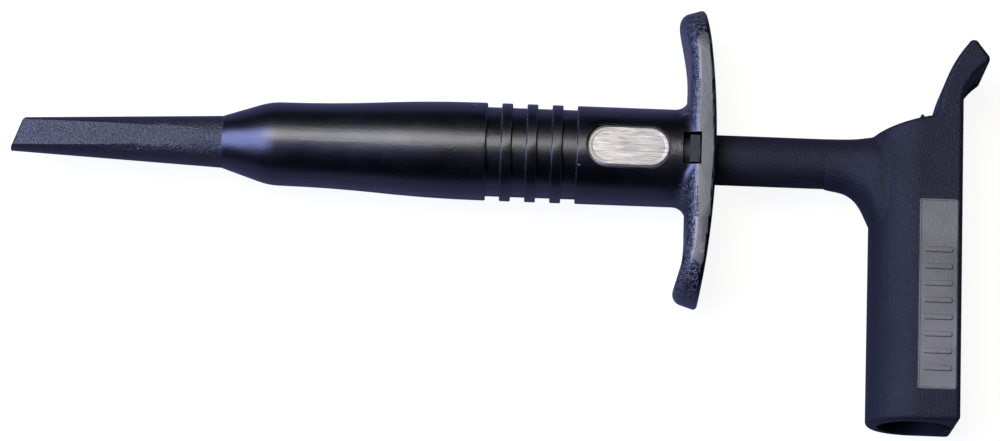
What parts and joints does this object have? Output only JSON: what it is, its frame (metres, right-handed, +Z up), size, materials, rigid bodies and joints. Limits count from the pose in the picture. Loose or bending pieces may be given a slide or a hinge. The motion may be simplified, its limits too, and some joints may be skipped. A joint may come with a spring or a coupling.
{
  "type": "plunger test clip",
  "caption": "Insulated spring-return test clip: a push handle with a plug socket drives small gripping jaws out of a slim nose; winged finger flange, grooved grip.",
  "frame": {"origin": "under the middle of the clip's outline, on the surface that it lies on", "axes": "+X along the barrel from nose to handle, +Y towards the thumb horn, +Z up from the flat side"},
  "size_m": [0.1106, 0.0472, 0.0111],
  "materials": {
    "black_plastic": "fine spark-eroded grain",
    "plate_metal": "brushed lengthwise",
    "latch_plastic": "satin",
    "label_grey": "smooth satin",
    "brass": "drawn and turned",
    "spring_steel": "drawn wire and strip",
    "rubber": "matte"
  },
  "bodies": {
    "barrel_body": {"nose": "black_plastic", "nose_liner": "latch_plastic", "barrel": "black_plastic", "marking_plate": "plate_metal", "rear_bush": "latch_plastic", "spring_seat": "spring_steel", "return_spring": "spring_steel"},
    "plunger": {"handle": "black_plastic", "label_panel": "label_grey", "plunger_rod": "brass", "drive_strip": "spring_steel", "strip_rivet": "brass", "jaw_pivot_pin": "spring_steel", "spring_collar": "brass", "collar_clip": "spring_steel", "stop_washer": "rubber", "socket_contact": "brass", "contact_screw": "spring_steel", "socket_ring": "latch_plastic"},
    "upper_jaw_body": {"upper_jaw": "spring_steel"},
    "lower_jaw_body": {"lower_jaw": "spring_steel"}
  },
  "joints": [
    {"name": "plunger_slide", "type": "slide", "parent": "barrel_body", "child": "plunger", "axis": [-1, 0, 0], "range_m": [0, 0.012], "stiffness_N_per_m": 250, "springref_m": -0.012, "deforming": ["return_spring"]},
    {"name": "upper_jaw_turn", "type": "hinge", "parent": "plunger", "child": "upper_jaw_body", "pos_m": [-0.04105, 0.00635, 0.00557], "axis": [0, 0, -1], "range_deg": [0, 7.5]},
    {"name": "lower_jaw_turn", "type": "hinge", "parent": "plunger", "child": "lower_jaw_body", "pos_m": [-0.04105, 0.00635, 0.00557], "axis": [0, 0, 1], "range_deg": [0, 7.5]}
  ],
  "couplings": [
    {"joint": "upper_jaw_turn", "follows": "plunger_slide", "rad_per_m": 10.9},
    {"joint": "lower_jaw_turn", "follows": "plunger_slide", "rad_per_m": 10.9}
  ]
}
